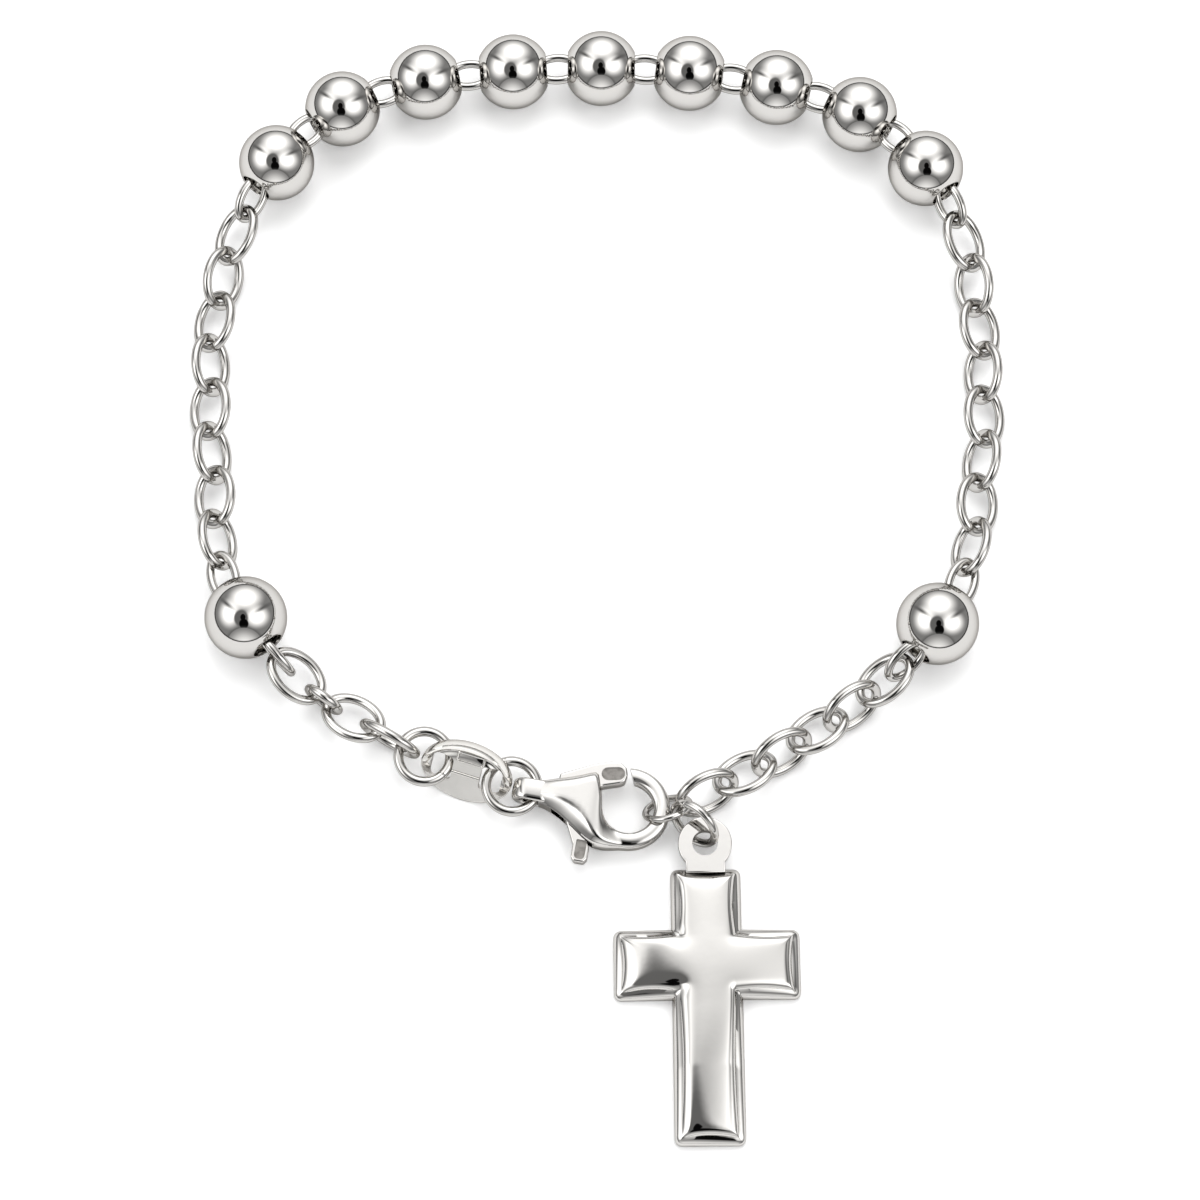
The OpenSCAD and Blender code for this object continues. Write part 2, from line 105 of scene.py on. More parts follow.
tent_strength = 1.0
tent = bpy.data.worlds.new("studio_tent")
scene.world = tent
tent.use_nodes = True
tree = tent.node_tree
tree.nodes.clear()
toward = add_node(tree, "ShaderNodeTexCoord").outputs["Generated"]
halfway = add_node(
    tree,
    "ShaderNodeVectorMath",
    {"operation": "ADD", 1: (0, -math.sin(camera_tilt), math.cos(camera_tilt))},
    {0: toward},
).outputs[0]
bulge = add_node(tree, "ShaderNodeVectorMath", {"operation": "NORMALIZE"}, {0: halfway}).outputs[0]
across = add_node(
    tree, "ShaderNodeVectorMath", {"operation": "DOT_PRODUCT", 1: (1, 0, 0)}, {0: bulge}
).outputs["Value"]
up = add_node(
    tree,
    "ShaderNodeVectorMath",
    {"operation": "DOT_PRODUCT", 1: (0, math.cos(camera_tilt), math.sin(camera_tilt))},
    {0: bulge},
).outputs["Value"]
spot = add_node(tree, "ShaderNodeCombineXYZ", links={"X": across, "Y": up}).outputs[0]
plain_cloth = add_node(tree, "ShaderNodeValue")
plain_cloth.outputs[0].default_value = tent_tone
light = plain_cloth.outputs[0]
for middle, halves, turn, softness, brightness in tent_patches:
    local = add_node(
        tree,
        "ShaderNodeMapping",
        {
            "vector_type": "TEXTURE",
            "Location": (*middle, 0),
            "Rotation": (0, 0, turn),
            "Scale": (*halves, 1),
        },
        {"Vector": spot},
    ).outputs[0]
    ball = add_node(tree, "ShaderNodeTexGradient", {"gradient_type": "SPHERICAL"}, {0: local})
    share = add_node(
        tree,
        "ShaderNodeMapRange",
        {"interpolation_type": "SMOOTHSTEP", "From Min": 0, "From Max": softness},
        {"Value": ball.outputs["Fac"]},
    ).outputs[0]
    light = add_node(
        tree, "ShaderNodeMix", {"data_type": "FLOAT", 3: brightness}, {0: share, 2: light}
    ).outputs[0]
# Below the tent's hem the dark room shows, from that height up to where the cloth is fully lit
room_tone = 0.06
hem_low, hem_high = 0.035, 0.10
height = add_node(tree, "ShaderNodeSeparateXYZ", links={0: toward}).outputs["Z"]
hem = add_node(
    tree, "ShaderNodeMapRange", {"From Min": hem_low, "From Max": hem_high}, {"Value": height}
).outputs[0]
light = add_node(
    tree, "ShaderNodeMix", {"data_type": "FLOAT", 2: room_tone}, {0: hem, 3: light}
).outputs[0]
lit = add_node(
    tree, "ShaderNodeBackground", {"Strength": tent_strength}, {"Color": light}
).outputs[0]
backdrop = add_node(tree, "ShaderNodeBackground", {"Color": linear("#fdfdfd")}).outputs[0]
seen = add_node(tree, "ShaderNodeLightPath").outputs["Is Camera Ray"]
mixed = add_node(tree, "ShaderNodeMixShader", links={0: seen, 1: lit, 2: backdrop}).outputs[0]
add_node(tree, "ShaderNodeOutputWorld", links={"Surface": mixed})

# A big soft light over the back of the sweep, whose shadows fall to the front. The silver doesn't
# show it, because its mirror already shows the panels.
key = bpy.data.lights.new("back_light", "AREA")
key.energy = 0.5
key.size = 0.30
key_light = bpy.data.objects.new("back_light", key)
key_light.location = (0.04, 0.20, 0.42)
key_light.rotation_euler = (-key_light.location).to_track_quat("-Z", "Y").to_euler()
key_light.visible_glossy = False
key_light.visible_camera = False
scene.collection.objects.link(key_light)

# White coated paper, matt: it shows soft shadows and no reflection.
paper = bpy.data.materials.new("white_paper")
paper.use_nodes = True
tree = paper.node_tree
surface = tree.nodes["Principled BSDF"]
surface.inputs["Base Color"].default_value = linear("#f6f6f6")
surface.inputs["Roughness"].default_value = 0.95
surface.inputs["Specular IOR Level"].default_value = 0.1
# The camera's exposure burns the paper out to white, so that its shadows are light; the silver's
# mirror shows it without that
burnt_out = 0.16
direct = add_node(tree, "ShaderNodeLightPath").outputs["Is Camera Ray"]
surface.inputs["Emission Color"].default_value = linear("#ffffff")
lift = add_node(
    tree, "ShaderNodeMath", {"operation": "MULTIPLY", 1: burnt_out}, {0: direct}
).outputs[0]
tree.links.new(lift, surface.inputs["Emission Strength"])
sweep_half = 0.8
sweep_mesh = bpy.data.meshes.new("paper_sweep")
sweep_mesh.from_pydata(
    [(x, y, 0) for x, y in ((-1, -1), (1, -1), (1, 1), (-1, 1))], [], [(0, 1, 2, 3)]
)
sweep_mesh.transform(Matrix.Scale(sweep_half, 4))
sweep_mesh.materials.append(paper)
sweep = bpy.data.objects.new("paper_sweep", sweep_mesh)
scene.collection.objects.link(sweep)


# The bead rings. Oval rings of drawn sterling silver wire, soldered shut, tumbled bright and plated
# with rhodium. Each passes through the eyes of two beads' pins, or joins a bead to a chain.
def silver(name, tone, roughness, ripple_mm, ripple):
    """Rhodium plated sterling silver, a neutral grey mirror: its haze and tone waver over ripple_mm,
    and its surface goes up and down by ripple, both in mm"""
    least_haze, most_haze = 0.6 * roughness, 1.5 * roughness
    darkest = 0.965
    made = bpy.data.materials.new(name)
    made.use_nodes = True
    tree = made.node_tree
    shader = tree.nodes["Principled BSDF"]
    shader.inputs["Metallic"].default_value = 1
    shader.inputs["Specular Tint"].default_value = linear("#b4b2af")
    place = add_node(tree, "ShaderNodeTexCoord").outputs["Object"]
    cloud = add_node(
        tree,
        "ShaderNodeTexNoise",
        {"Scale": 1 / (ripple_mm * mm), "Detail": 3, "Roughness": 0.55},
        {"Vector": place},
    ).outputs["Fac"]
    haze = add_node(
        tree,
        "ShaderNodeMapRange",
        {"From Min": 0.3, "From Max": 0.7, "To Min": least_haze, "To Max": most_haze},
        {"Value": cloud},
    ).outputs[0]
    tree.links.new(haze, shader.inputs["Roughness"])
    shade = [c * darkest for c in linear(tone)[:3]] + [1]
    tint = add_node(
        tree, "ShaderNodeMix", {"data_type": "RGBA", 6: linear(tone), 7: shade}, {0: cloud}
    ).outputs[2]
    tree.links.new(tint, shader.inputs["Base Color"])
    bump = add_node(
        tree,
        "ShaderNodeBump",
        {"Strength": 1, "Distance": ripple * mm},
        {"Height": cloud},
    ).outputs[0]
    tree.links.new(bump, shader.inputs["Normal"])
    return made


def solids_of(node):
    """The welded points of each separate solid in a CAD node"""
    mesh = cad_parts[node].data
    seen = {}
    index = [seen.setdefault(tuple(round(c * 1e6) for c in v.co), len(seen)) for v in mesh.vertices]
    owner = list(range(len(seen)))

    def root(i):
        while owner[i] != i:
            owner[i] = owner[owner[i]]
            i = owner[i]
        return i

    for face in mesh.polygons:
        for v in face.vertices[1:]:
            owner[root(index[v])] = root(index[face.vertices[0]])
    points = np.array(list(seen)) * 1e-6
    roots = np.array([root(i) for i in range(len(seen))])
    return [points[roots == r] for r in sorted(set(roots))]


def frame_of(points):
    """A solid's own frame, x along its length and z across its plane, and its size in mm"""
    middle = points.mean(0)
    axes = np.linalg.eigh(np.cov((points - middle).T))[1][:, ::-1]
    if np.linalg.det(axes) < 0:
        axes[:, 2] *= -1
    spread = (points - middle) @ axes
    middle = middle + axes @ (spread.max(0) + spread.min(0)) / 2
    matrix = Matrix(axes.tolist()).to_4x4()
    matrix.translation = Vector(middle.tolist())
    return matrix, (spread.max(0) - spread.min(0)) / mm


def ring_of_wire(length, width, wire, stations=80, sides=20, seam=0.0):
    """Points and faces of an oval ring of round wire, with a fine seam at one end where seam > 0"""
    a, b, r = (length - wire) / 2, (width - wire) / 2, wire / 2
    full = 2 * math.pi
    turns = [i * full / stations for i in range(stations)]
    seam_foot, seam_wall = math.radians(0.6), math.radians(1.6)
    if seam:
        clear = [t for t in turns if min(t, full - t) > 0.04]
        turns = sorted(clear + [t % full for t in (-seam_wall, -seam_foot, seam_foot, seam_wall)])
    points = []
    for t in turns:
        near = min(t, full - t)
        thin = 1 - seam if seam and near < (seam_foot + seam_wall) / 2 else 1
        n = Vector((b * math.cos(t), a * math.sin(t), 0)).normalized()
        for j in range(sides):
            p = j * 2 * math.pi / sides
            flat = n * (r * thin * math.cos(p))
            points.append((a * math.cos(t) + flat.x, b * math.sin(t) + flat.y, r * thin * math.sin(p)))
    return points, tube_faces(len(turns), sides, True)


def tube_faces(stations, sides, closed):
    """Faces of a tube whose points come ring by ring, closed on itself or capped at its ends"""
    faces = []
    for i in range(stations if closed else stations - 1):
        k = (i + 1) % stations
        for j in range(sides):
            m = (j + 1) % sides
            faces.append((i * sides + j, k * sides + j, k * sides + m, i * sides + m))
    if not closed:
        faces.append(tuple(range(sides)))
        faces.append(tuple(reversed(range((stations - 1) * sides, stations * sides))))
    return faces


def mesh_of(name, parts):
    """One mesh from parts, each of which is points in mm, faces and the frame that it sits in"""
    points, faces = [], []
    for part_points, part_faces, matrix in parts:
        first = len(points)
        points += [matrix @ (Vector(p) * mm) for p in part_points]
        faces += [tuple(first + v for v in face) for face in part_faces]
    mesh = bpy.data.meshes.new(name)
    mesh.from_pydata(points, [], faces)
    mesh.validate()
    return mesh


def fit(name, mesh, finish, body, nodes, crease=40):
    """An object of that mesh and finish, which rides on a body in place of its CAD nodes"""
    mesh.materials.append(finish)
    for face in mesh.polygons:
        face.use_smooth = True
    mesh.set_sharp_from_angle(angle=math.radians(crease))
    made = bpy.data.objects.new(name, mesh)
    scene.collection.objects.link(made)
    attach(made, body)
    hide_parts(*nodes)
    return made


bead_ring_wire = 0.6
bead_ring_width = 2.42
between_beads = 3.6
# Drawn wire is bright and smooth, and tumbling leaves its mirror slightly wavy
drawn_wire = silver("rhodium_plated_drawn_silver_wire", "#c2c0bd", 0.035, 1.1, 0.0025)
end_rings = ("left_top", "left_low", "right_top", "right_low", "tail", "tag_side")
bead_ring_nodes = [f"ring_{i}" for i in range(1, 9)] + [f"ring_{place}" for place in end_rings]
bead_ring_ends = []
for node in bead_ring_nodes:
    matrix, size = frame_of(solids_of(node)[0])
    length = between_beads if node[5:].isdigit() else size[0]
    points, faces = ring_of_wire(length, bead_ring_width, bead_ring_wire)
    fit(f"bead_{node}", mesh_of(node, [(points, faces, matrix)]), drawn_wire, "bracelet", [node])
    bead_ring_ends.append((matrix.translation, length / 2 - bead_ring_wire))


# The chains. Oval cable links of heavier drawn wire, soldered shut and tumbled, with one small round
# link between the tag and the left large bead.
link_wire = 0.67
chains = ["chain_left", "chain_right", "chain_tail", "chain_clasp"]
for node in chains:
    parts = []
    for points in solids_of(node):
        matrix, size = frame_of(points)
        parts.append((*ring_of_wire(size[0], size[1], link_wire), matrix))
    fit(f"{node}_links", mesh_of(node, parts), drawn_wire, "bracelet", [node])


# The beads. Thin hollow balls pressed from sterling silver sheet in two halves, soldered, drilled
# through and polished to a mirror. The hole's edge is rolled in a little.
bead_wall = 0.36
bead_bore = 2.28
bead_lip = 0.07
# Buffed balls are the clearest mirrors of the piece, with hardly any haze
polished_ball = silver("rhodium_plated_silver_ball_mirror_polished", "#cfcdca", 0.02, 2.2, 0.0015)


def arc_of(radius, first, steps):
    """Points of an arc over the x axis, as far from it at each end as the angle first"""
    angles = [first + (math.pi - 2 * first) * i / steps for i in range(steps + 1)]
    return [(radius * math.cos(a), radius * math.sin(a)) for a in angles]


def ball_shell(diameter, turns=96, outer_steps=56, inner_steps=16):
    """Points and faces of a drilled hollow ball round the x axis"""
    outer = diameter / 2
    inner = outer - bead_wall
    first = math.asin((bead_bore / 2 + bead_lip) / outer)
    last = math.asin((bead_bore / 2) / inner)
    edge_x = outer * math.cos(first) - bead_lip
    lip = [
        (edge_x + bead_lip * math.cos(a), bead_bore / 2 + bead_lip - bead_lip * math.sin(a))
        for a in (math.pi / 8, math.pi / 4, 3 * math.pi / 8, math.pi / 2)
    ]
    inside = [(-x, r) for x, r in arc_of(inner, last, inner_steps)]
    profile = arc_of(outer, first, outer_steps) + [(-x, r) for x, r in lip] + inside + lip[::-1]
    points = [
        (x, r * math.cos(k * 2 * math.pi / turns), r * math.sin(k * 2 * math.pi / turns))
        for k in range(turns)
        for x, r in profile
    ]
    return points, tube_faces(turns, len(profile), True)


bead_names = [str(i) for i in range(1, 10)] + ["left", "right"]
for name in bead_names:
    low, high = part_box(f"bead_{name}")
    matrix, size = frame_of(solids_of(f"bead_pin_{name}")[0])
    matrix.translation = (low + high) / 2
    diameter = max(high - low) / mm
    ball_mesh = mesh_of(f"ball_{name}", [(*ball_shell(diameter), matrix)])
    fit(f"ball_{name}", ball_mesh, polished_ball, "bracelet", [f"bead_{name}"])


# The eye pins. Fine wire through each bead, bent to an eye at both ends inside the holes, so that
# each eye holds the end of a bead ring.
pin_wire = 0.4
pin_eye = 1.52
pin_play = 0.04
pin_sides = 16
# Fine wire inside the beads isn't buffed, so it is a little duller than the rings
pin_wire_finish = silver("rhodium_plated_silver_pin_wire", "#c4c2be", 0.06, 0.6, 0.002)
for name in bead_names:
    matrix, size = frame_of(solids_of(f"bead_pin_{name}")[0])
    low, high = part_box(f"bead_{name}")
    matrix.translation = (low + high) / 2
    along = matrix.to_3x3() @ Vector((1, 0, 0))
    eyes = []
    for side in (1, -1):
        mouth = matrix.translation + along * (side * (high - low).z / 2)
        ring_middle, ring_inside = min(bead_ring_ends, key=lambda end: (end[0] - mouth).length)
        tip = (ring_middle - matrix.translation).length / mm - ring_inside + pin_play + pin_wire
        eyes.append(side * (tip - pin_eye / 2))
    parts = [
        (
            *ring_of_wire(pin_eye, pin_eye, pin_wire, 40, pin_sides),
            matrix @ Matrix.Translation((x * mm, 0, 0)),
        )
        for x in eyes
    ]
    round_pin = [2 * math.pi * k / pin_sides for k in range(pin_sides)]
    stem = [
        (x, pin_wire / 2 * math.cos(a), pin_wire / 2 * math.sin(a))
        for x in (eyes[1] + pin_eye / 2 - pin_wire, eyes[0] - pin_eye / 2 + pin_wire)
        for a in round_pin
    ]
    parts.append((stem, tube_faces(2, pin_sides, False), matrix))
    pin_mesh = mesh_of(f"eye_pin_{name}", parts)
    fit(f"eye_pin_{name}", pin_mesh, pin_wire_finish, "bracelet", [f"bead_pin_{name}"])


# The jump rings and the hook ring. Round rings of drawn wire, closed by hand, so each has a fine
# seam. One jump ring holds each end of the tag, and the hook ring hangs in the clasp.
jump_wire = 0.7
hook_ring_wire = 0.48
jump_seam = 0.06


def round_ring(node, wire):
    """A round ring of drawn wire with a seam, in place of that node"""
    matrix, size = frame_of(solids_of(node)[0])
    points, faces = ring_of_wire(size[0], size[0], wire, 120, 24, jump_seam)
    fit(f"{node}_wire", mesh_of(node, [(points, faces, matrix)]), drawn_wire, "bracelet", [node])


round_ring("jump_ring_1", jump_wire)
round_ring("jump_ring_2", jump_wire)
round_ring("hook_ring", hook_ring_wire)


# The clasp's body. A lobster clasp cast in sterling silver and tumble polished: two cheeks that run
# out into a hook, and a bail behind. The cheeks hold the lever's pin between them.

# Tumbling rounds a casting and leaves it bright, with a softer and more uneven mirror than the balls
cast_silver = silver("rhodium_plated_cast_silver_tumbled", "#cfcdca", 0.035, 1.6, 0.004)
clasp_heading = -10.484
clasp_place = Matrix.Translation(Vector((1.94368, -27.57603, 1.4)) * mm) @ Matrix.Rotation(
    math.radians(clasp_heading), 4, "Z"
)
hook_bore_r = 1.76
hook_outer_r = 2.86
slot_half = 0.55

# Ribs across the body: a point on its front edge, one on its back edge, the height of its wall, the
# rise of its face over the wall, and the width of the flank that slopes to the front edge
clasp_ribs = [
    ((-6.15, -0.80), (-6.15, 0.80), 0.62, 0.36, 0.50),
    ((-5.70, -0.88), (-5.70, 0.92), 0.64, 0.44, 0.62),
    ((-5.20, -1.05), (-5.25, 1.07), 0.66, 0.54, 0.80),
    ((-4.60, -1.34), (-4.65, 1.24), 0.66, 0.62, 0.98),
    ((-4.05, -1.68), (-4.05, 1.44), 0.66, 0.66, 1.10),
    ((-3.55, -2.02), (-3.45, 1.68), 0.66, 0.68, 1.12),
    ((-3.12, -2.33), (-2.95, 1.90), 0.66, 0.69, 1.05),
    ((-2.78, -2.57), (-2.62, 2.00), 0.66, 0.69, 0.95),
    ((-2.50, -2.74), (-2.40, 1.88), 0.66, 0.68, 0.85),
    ((-2.24, -2.87), (-2.27, 1.55), 0.66, 0.66, 0.74),
    ((-1.98, -2.97), (-2.13, 1.12), 0.64, 0.64, 0.64),
    ((-1.72, -3.03), (-1.98, 0.64), 0.60, 0.62, 0.55),
    ((-1.45, -3.06), (-1.86, 0.16), 0.55, 0.60, 0.48),
    ((-1.15, -3.06), (-1.78, -0.28), 0.50, 0.57, 0.42),
    ((-0.84, -3.02), (-1.66, -0.68), 0.44, 0.54, 0.36),
    ((-0.50, -2.96), (-1.45, -1.05), 0.38, 0.50, 0.30),
    ((-0.14, -2.89), (-1.14, -1.38), 0.33, 0.46, 0.26),
]

# The hook goes on from there, round its opening to the tip, and gets thinner on the way
outer_from, outer_to = math.radians(-86), math.radians(97.5)
inner_from, inner_to = math.radians(-122), math.radians(86.5)
hook_wall, hook_wall_loss = 0.30, 0.08
hook_rise, hook_rise_loss = 0.42, 0.06
hook_steps = 46
for i in range(hook_steps + 1):
    s = i / hook_steps
    outer_angle = outer_from + (outer_to - outer_from) * s
    inner_angle = inner_from + (inner_to - inner_from) * s
    clasp_ribs.append(
        (
            (hook_outer_r * math.cos(outer_angle), hook_outer_r * math.sin(outer_angle)),
            (hook_bore_r * math.cos(inner_angle), hook_bore_r * math.sin(inner_angle)),
            hook_wall - hook_wall_loss * s,
            hook_rise - hook_rise_loss * s,
            0,
        )
    )
slot_ribs = (2, 10)
rib_steps = 36
face_roundness = 2.4
# The flank ends at a soft crest, behind which the face is nearly flat and rolls off at its back edge
crest_softness = 0.24
flank_share = 0.88
edge_lead = 0.05
edge_lip = 0.08
lip_start = 0.4
back_roll = 0.7
crown, crown_bow, crown_middle = 1.06, 0.5, 0.55
full_flank = 0.5


def face_row(front, back, wall, rise, flank, side):
    """One row of points across the face of the body, pillowed between its two edges, or with a flank"""
    row = []
    width = math.dist(front, back)
    for k in range(rib_steps + 1):
        x = -math.cos(math.pi * k / rib_steps)
        share = (1 + x) / 2
        z = (1 - abs(x) ** face_roundness) ** (1 / face_roundness)
        if flank:
            slope = (share * width + edge_lead) / (flank_share * flank)
            back_round = math.sqrt(max(0, 1 - (1 - min(1, (1 - share) * width / back_roll)) ** 2))
            lip = lip_start + (1 - lip_start) * min(1, share * width / edge_lip)
            top = crown - crown_bow * (share - crown_middle) ** 2
            both = math.exp(-slope / crest_softness) + math.exp(-top / crest_softness)
            ridge = min(-crest_softness * math.log(both), 1.0) * back_round * lip
            blend = min(1, flank / full_flank)
            z = ridge * blend + z * (1 - blend)
        z = wall + rise * z
        place = Vector(front).lerp(Vector(back), share)
        row.append((place.x, place.y, side * z))
    return row


def clasp_shell():
    """Points and faces of the cheeks and hook as one closed shell, slotted between the cheeks"""
    points, faces = [], []
    width = rib_steps + 1
    for rib in clasp_ribs:
        top = face_row(*rib, 1)
        bottom = face_row(*rib, -1)
        points += top + [(x, y, slot_half) for x, y, z in top]
        points += [(x, y, -slot_half) for x, y, z in bottom] + bottom

    def at(rib, row, k):
        """Index of a point: rows 0 and 3 are the two faces, 1 and 2 the walls of the slot"""
        return (rib * 4 + row) * width + k

    def across(rib, a, b):
        """A face over a rib's whole width, between two of its rows"""
        return [at(rib, a, k) for k in range(width)] + [at(rib, b, k) for k in reversed(range(width))]

    count = len(clasp_ribs)
    for i in range(count - 1):
        slotted = slot_ribs[0] <= i < slot_ribs[1]
        for k in range(rib_steps):
            faces.append((at(i, 0, k), at(i + 1, 0, k), at(i + 1, 0, k + 1), at(i, 0, k + 1)))
            faces.append((at(i, 3, k), at(i, 3, k + 1), at(i + 1, 3, k + 1), at(i + 1, 3, k)))
            if slotted:
                faces.append((at(i, 1, k), at(i, 1, k + 1), at(i + 1, 1, k + 1), at(i + 1, 1, k)))
                faces.append((at(i, 2, k), at(i + 1, 2, k), at(i + 1, 2, k + 1), at(i, 2, k + 1)))
        if slotted:
            walls = [((i, a), (i, a + 1), (i + 1, a + 1), (i + 1, a)) for a in (0, 2)]
        else:
            near = (0, 1, 2, 3) if i == slot_ribs[1] else (0, 3)
            far = (3, 2, 1, 0) if i + 1 == slot_ribs[0] else (3, 0)
            walls = [[(i, row) for row in near] + [(i + 1, row) for row in far]]
        for wall in walls:
            faces.append(tuple(at(r, row, 0) for r, row in wall))
            faces.append(tuple(at(r, row, rib_steps) for r, row in reversed(wall)))
    faces += [across(rib, 0, 3) for rib in (0, count - 1)]
    faces += [across(rib, 1, 2) for rib in slot_ribs]
    return points, faces


# The bail is an open loop in one with the neck, and the pivot pin's ends are flush with the cheeks
bail_end = -8.1
bail_hole = 1.04
bail_wall = 0.48
bail_bar, bar_taper = 0.72, 1.5
bail_half_width = 0.85
bail_narrowing = 0.1
bail_inner_end = -5.6
strip_squareness = 0.55


def squared(value):
    """A cosine or sine drawn out towards 1, so that a round section gets flatter sides"""
    return math.copysign(abs(value) ** strip_squareness, value)


def bail_loop(steps=24, sides=24):
    """Points and faces of the bail: a flat strip bent round the stadium hole, thicker at its end"""
    r = bail_hole / 2
    left = bail_end + bail_bar + r
    right = bail_inner_end - r
    points = []
    for middle, first, bar in ((left, math.pi / 2, bail_bar), (right, -math.pi / 2, bail_wall)):
        for i in range(steps + 1):
            a = first + math.pi * i / steps
            nu, nw = math.cos(a), math.sin(a)
            u, w = middle + r * nu, r * nw
            thick = bail_wall + (bar - bail_wall) * max(0, -nu) ** bar_taper
            half = bail_half_width if u < bail_end + bail_bar else bail_half_width - bail_narrowing
            for j in range(sides):
                p = j * 2 * math.pi / sides
                out = (1 + squared(math.cos(p))) / 2 * thick
                points.append((u + nu * out, half * squared(math.sin(p)), w + nw * out))
    return points, tube_faces(2 * (steps + 1), sides, True)


pivot_u = -4.296
pivot_r = 0.45
pivot_half = 1.2
pivot_bevel = 0.06


def turned(profile, sides, closed):
    """Points and faces of a piece turned on the pivot, from a profile of radius and height"""
    turns = [2 * math.pi * k / sides for k in range(sides)]
    points = [(pivot_u + r * math.cos(a), r * math.sin(a), z) for r, z in profile for a in turns]
    return points, tube_faces(len(profile), sides, closed)


pivot_end = [
    (0.001, -pivot_half),
    (pivot_r - pivot_bevel, -pivot_half),
    (pivot_r, pivot_bevel - pivot_half),
]
pivot_profile = pivot_end + [(r, -z) for r, z in reversed(pivot_end)]
clasp_mesh = mesh_of(
    "clasp_body",
    [(*part, clasp_place) for part in (clasp_shell(), bail_loop(), turned(pivot_profile, 32, False))],
)
fit("clasp_cheeks_and_hook", clasp_mesh, cast_silver, "bracelet", ["clasp_body"], 50)


# The clasp's lever. Gate and thumb tab in one casting, which turns on the pin. Its face carries a
# plain sunk panel, and the thumb tab another.
def rounded(corners, radius, steps=6):
    """An outline whose corners are rounded, each by its own radius where a list is given"""
    path = []
    n = len(corners)
    most = 0.49
    for i in range(n):
        r = radius[i] if isinstance(radius, (list, tuple)) else radius
        a, b, c = (Vector(corners[k % n]) for k in (i - 1, i, i + 1))
        p, q = (a - b).normalized(), (c - b).normalized()
        half = p.angle(q) / 2
        reach = min(r / math.tan(half), most * min((a - b).length, (c - b).length))
        for k in range(steps + 1):
            t = k / steps
            start, end = b + p * reach, b + q * reach
            path.append(tuple(start * (1 - t) ** 2 + b * 2 * t * (1 - t) + end * t * t))
    return path


def inset(outline, d):
    """The outline drawn in by d"""
    n = len(outline)
    sharpest = 0.5
    moved = []
    for i in range(n):
        a, b, c = (Vector(outline[k % n]) for k in (i - 1, i, i + 1))
        e, f = (b - a).normalized(), (c - b).normalized()
        normal = Vector((-e.y - f.y, e.x + f.x))
        if normal.length < 1e-9:
            normal = Vector((-e.y, e.x))
        normal.normalize()
        reach = d / max(sharpest, normal.dot(Vector((-e.y, e.x))))
        moved.append(tuple(b + normal * reach))
    return moved


def slab(outline, low, high, bevel, steps=3):
    """Points and faces of a plate with that outline, whose edges are rounded by the bevel"""
    face_rim = 0.03
    rings = [(bevel + face_rim, low)]
    for k in range(steps + 1):
        a = math.pi / 2 * k / steps
        rings.append((bevel * (1 - math.sin(a)), low + bevel * (1 - math.cos(a))))
    rings += [(d, low + high - z) for d, z in reversed(rings)]
    points = [(x, y, z) for d, z in rings for x, y in inset(outline, d)]
    faces = tube_faces(len(rings), len(outline), False)
    return points, [tuple(reversed(f)) for f in faces]


def carved(name, body_part, cutters):
    """A mesh in mm: the body part with the cutters' shapes taken out of it"""
    made = []
    for k, (points, faces) in enumerate([body_part] + cutters):
        mesh = bpy.data.meshes.new(f"{name}_{k}")
        mesh.from_pydata(points, [], faces)
        made.append(bpy.data.objects.new(f"{name}_{k}", mesh))
        scene.collection.objects.link(made[-1])
    for cutter in made[1:]:
        cut = made[0].modifiers.new("cut", "BOOLEAN")
        cut.operation = "DIFFERENCE"
        cut.solver = "EXACT"
        cut.object = cutter
    graph = bpy.context.evaluated_depsgraph_get()
    result = bpy.data.meshes.new_from_object(made[0].evaluated_get(graph))
    for thing in made:
        bpy.data.objects.remove(thing)
    return result


lever_half = 0.45
gate_half = 0.57
gate_corners = [
    (-5.05, 0.45), (-3.60, -0.25), (-2.50, 0.70), (-1.95, 1.18), (-0.84, 1.56), (-0.56, 1.74),
    (-0.46, 2.26), (-0.58, 2.74), (-1.03, 3.07), (-1.73, 3.04), (-2.95, 2.60), (-5.05, 1.52),
]
gate_radii = [0.3, 0.3, 0.3, 0.3, 0.25, 0.3, 0.35, 0.35, 0.5, 0.6, 0.9, 0.25]
gate_outline = rounded(gate_corners, gate_radii)
thumb_corners = [
    (-4.85, -0.05), (-3.30, -3.15), (-3.28, -4.05), (-3.05, -4.35),
    (-2.35, -4.35), (-2.14, -4.05), (-2.14, -3.25), (-3.55, 0.15),
]
thumb_radii = [0.2, 0.4, 0.2, 0.2, 0.2, 0.2, 0.4, 0.2]
thumb_outline = rounded(thumb_corners, thumb_radii)
gate_bevel = 0.12
thumb_bevel = 0.1
panel_middle = (-1.44, 2.16)
panel_length, panel_width = 1.62, 0.92
panel_turn = math.radians(12)
panel_depth = 0.13
panel_bevel = 0.05
thumb_panel_corners = [(-3.06, -4.16), (-2.34, -4.16), (-2.34, -2.80), (-3.08, -2.80)]
thumb_panel_radii = [0.32, 0.32, 0.1, 0.1]
thumb_depth = 0.1
thumb_panel_bevel = 0.03
# How far a cutter goes past the face that it cuts, and the bevel of one that goes right through
cutter_over = 0.4
cutter_bevel = 0.01


def stadium(middle, length, width, turn, steps=10):
    """Outline of a panel with round ends"""
    path = []
    for side in (1, -1):
        for k in range(steps + 1):
            a = math.pi * (k / steps - 0.5) + (0 if side > 0 else math.pi)
            x = side * (length - width) / 2 + width / 2 * math.cos(a)
            y = width / 2 * math.sin(a)
            path.append(
                (
                    middle[0] + x * math.cos(turn) - y * math.sin(turn),
                    middle[1] + x * math.sin(turn) + y * math.cos(turn),
                )
            )
    return path


